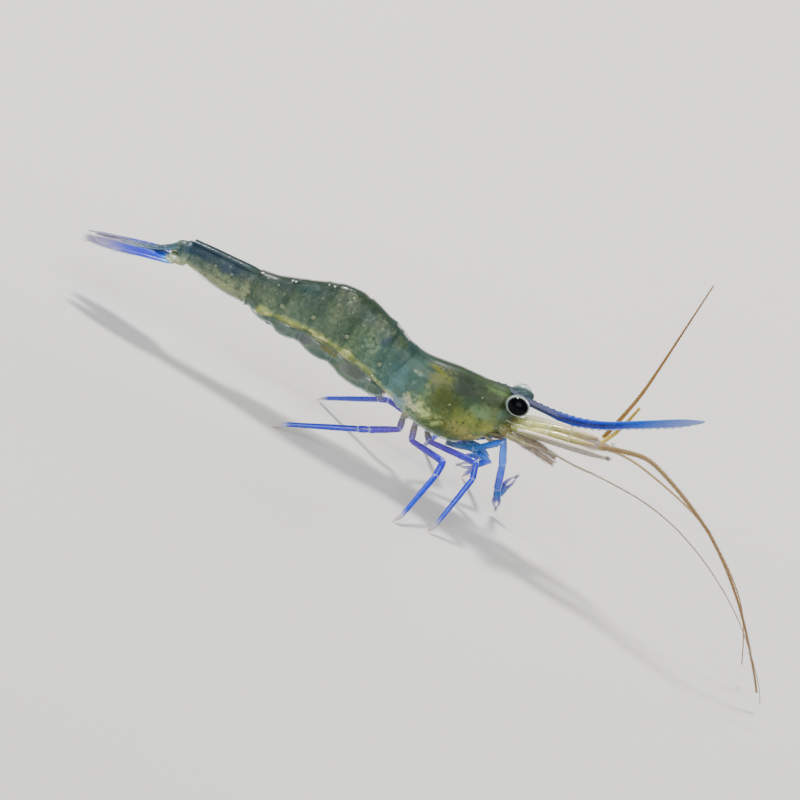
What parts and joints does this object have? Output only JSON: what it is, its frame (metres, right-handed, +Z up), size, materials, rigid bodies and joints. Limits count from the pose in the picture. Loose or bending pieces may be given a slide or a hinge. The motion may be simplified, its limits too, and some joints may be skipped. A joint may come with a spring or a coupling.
{
  "type": "blue-legged freshwater shrimp, still life-size model",
  "caption": "Slender freshwater shrimp standing on its walking legs, with a long upcurved saw-toothed rostrum, long feelers, claw legs and a folded tail fan.",
  "frame": {"origin": "middle of the bounding box, on the floor that the feet stand on", "axes": "+X towards the head and along the body, +Z up, -Y towards the animal's right side"},
  "size_m": [0.041, 0.0118, 0.0162],
  "materials": {
    "shell": "clear wet shell over grey-green flesh",
    "flesh": "moist olive and cream",
    "rostrum": "royal blue with pale edges",
    "leg": "violet to royal blue, white at the joints",
    "claw_leg": "teal and blue",
    "feeler": "orange brown, thinning to tan",
    "pale_limb": "clear cream and yellow-green",
    "eye": "black with a silver rim",
    "tail_fin": "cobalt blue with clear lavender tips"
  },
  "bodies": {
    "root": {"abdomen_1": "shell", "abdomen_2": "shell", "abdomen_3": "shell", "abdomen_4": "shell", "abdomen_5": "shell", "abdomen_6": "shell", "antenna_base_left": "pale_limb", "antenna_base_right": "pale_limb", "antenna_feeler_left_1": "feeler", "antenna_feeler_left_2": "feeler", "antenna_feeler_right_1": "feeler", "antenna_feeler_right_2": "feeler", "antennal_scale_left": "pale_limb", "antennal_scale_right": "pale_limb", "antennule_inner_feeler_left": "feeler", "antennule_inner_feeler_right_1": "feeler", "antennule_inner_feeler_right_2": "feeler", "antennule_left": "pale_limb", "antennule_outer_feeler_left_1": "feeler", "antennule_outer_feeler_left_2": "feeler", "antennule_outer_feeler_right_1": "feeler", "antennule_outer_feeler_right_2": "feeler", "antennule_right": "pale_limb", "carapace": "shell", "eye_left": "eye", "eye_right": "eye", "eyestalk_left": "flesh", "eyestalk_right": "flesh", "leg_1_left": "claw_leg", "leg_1_right": "claw_leg", "leg_2_left": "claw_leg", "leg_2_right": "claw_leg", "leg_3_left": "leg", "leg_3_right": "leg", "leg_4_left": "leg", "leg_4_right": "leg", "leg_5_left": "leg", "leg_5_right": "leg", "maxilliped_left": "pale_limb", "maxilliped_right": "pale_limb", "rostrum": "rostrum", "swimmeret_1_left": "pale_limb", "swimmeret_1_right": "pale_limb", "swimmeret_2_left": "pale_limb", "swimmeret_2_right": "pale_limb", "swimmeret_3_left": "pale_limb", "swimmeret_3_right": "pale_limb", "swimmeret_4_left": "pale_limb", "swimmeret_4_right": "pale_limb", "swimmeret_5_left": "pale_limb", "swimmeret_5_right": "pale_limb", "telson": "shell", "thorax": "flesh", "uropod_inner_left": "tail_fin", "uropod_inner_right": "tail_fin", "uropod_outer_left": "tail_fin", "uropod_outer_right": "tail_fin"}
  },
  "joints": []
}
